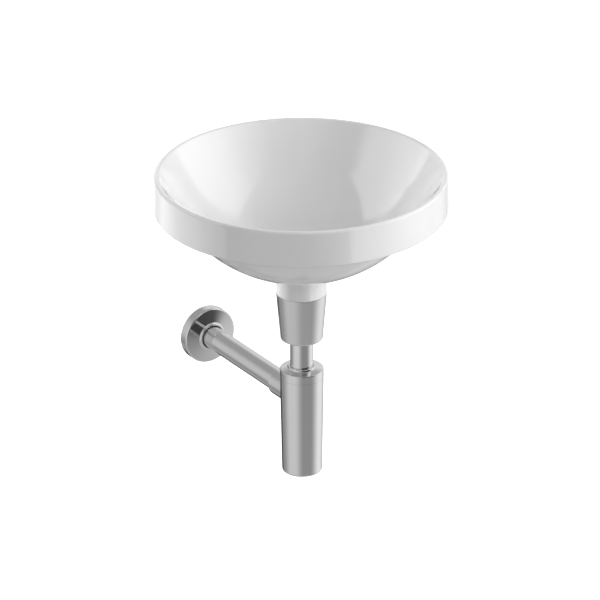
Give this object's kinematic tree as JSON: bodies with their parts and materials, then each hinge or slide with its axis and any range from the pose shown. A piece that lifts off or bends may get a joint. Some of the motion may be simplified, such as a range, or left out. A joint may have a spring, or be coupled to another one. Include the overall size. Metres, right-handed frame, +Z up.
{
  "type": "inset basin",
  "caption": "Round white ceramic inset basin with a raised rim, push-open waste, tapered cover cup, slim bottle trap, straight wall pipe and round rosette.",
  "frame": {"origin": "centre of the rim's foot, in the plane of the countertop that carries it", "axes": "+Z up along the basin's axis, +Y towards the wall along the outlet pipe, +X to the right seen from the room"},
  "size_m": [0.4, 0.4749, 0.4492],
  "materials": {
    "ceramic": "white gloss glaze",
    "chrome": "polished chrome plate",
    "brass": "turned, unplated",
    "rubber": "matt black",
    "plastic": "moulded, off-white"
  },
  "bodies": {
    "basin_and_waste": {"basin": "ceramic", "waste_body": "chrome", "flange_gasket": "rubber", "click_cartridge": "plastic", "spigot_washer": "rubber", "slip_washer": "plastic", "lock_nut": "brass", "union_nut": "brass", "union_gasket": "rubber", "dip_tube": "chrome"},
    "plug": {"waste_plug": "chrome", "plug_stem": "brass", "plug_seal": "rubber"},
    "cup": {"cover_cup": "chrome", "cup_grip_ring": "rubber"},
    "trap_head": {"trap_cap": "chrome", "tube_seal": "rubber"},
    "bottle": {"trap_bottle": "chrome"},
    "outlet": {"outlet_pipe": "chrome", "outlet_seals": "rubber"},
    "wall_rosette": {"rosette": "chrome", "rosette_ring": "rubber"},
    "cleaning_ring": {"cleaning_seal": "rubber"},
    "cleaning_cap": {"cleaning_plug": "chrome"}
  },
  "joints": [
    {"name": "plug_lift", "type": "slide", "parent": "basin_and_waste", "child": "plug", "axis": [0, 0, 1], "range_m": [0, 0.008]},
    {"name": "cup_slide", "type": "slide", "parent": "basin_and_waste", "child": "cup", "axis": [0, 0, 1], "range_m": [-0.036, 0]},
    {"name": "trap_height", "type": "slide", "parent": "basin_and_waste", "child": "trap_head", "axis": [0, 0, 1], "range_m": [-0.02, 0.02]},
    {"name": "trap_swivel", "type": "hinge", "parent": "trap_head", "child": "bottle", "pos_m": [0, 0, -0.2545], "axis": [0, 0, 1], "continuous": true},
    {"name": "outlet_slide", "type": "slide", "parent": "bottle", "child": "outlet", "axis": [0, 1, 0], "range_m": [0, 0.014]},
    {"name": "rosette_slide", "type": "slide", "parent": "outlet", "child": "wall_rosette", "axis": [0, 1, 0], "range_m": [-0.15, 0]},
    {"name": "cleaning_slide", "type": "slide", "parent": "bottle", "child": "cleaning_ring", "axis": [0, 0, 1], "range_m": [-0.01, 0]},
    {"name": "cleaning_turn", "type": "hinge", "parent": "cleaning_ring", "child": "cleaning_cap", "pos_m": [0, 0, -0.395], "axis": [0, 0, 1], "range_deg": [-1800, 0]}
  ],
  "couplings": [
    {"joint": "cleaning_turn", "follows": "cleaning_slide", "rad_per_m": 3141.6}
  ]
}
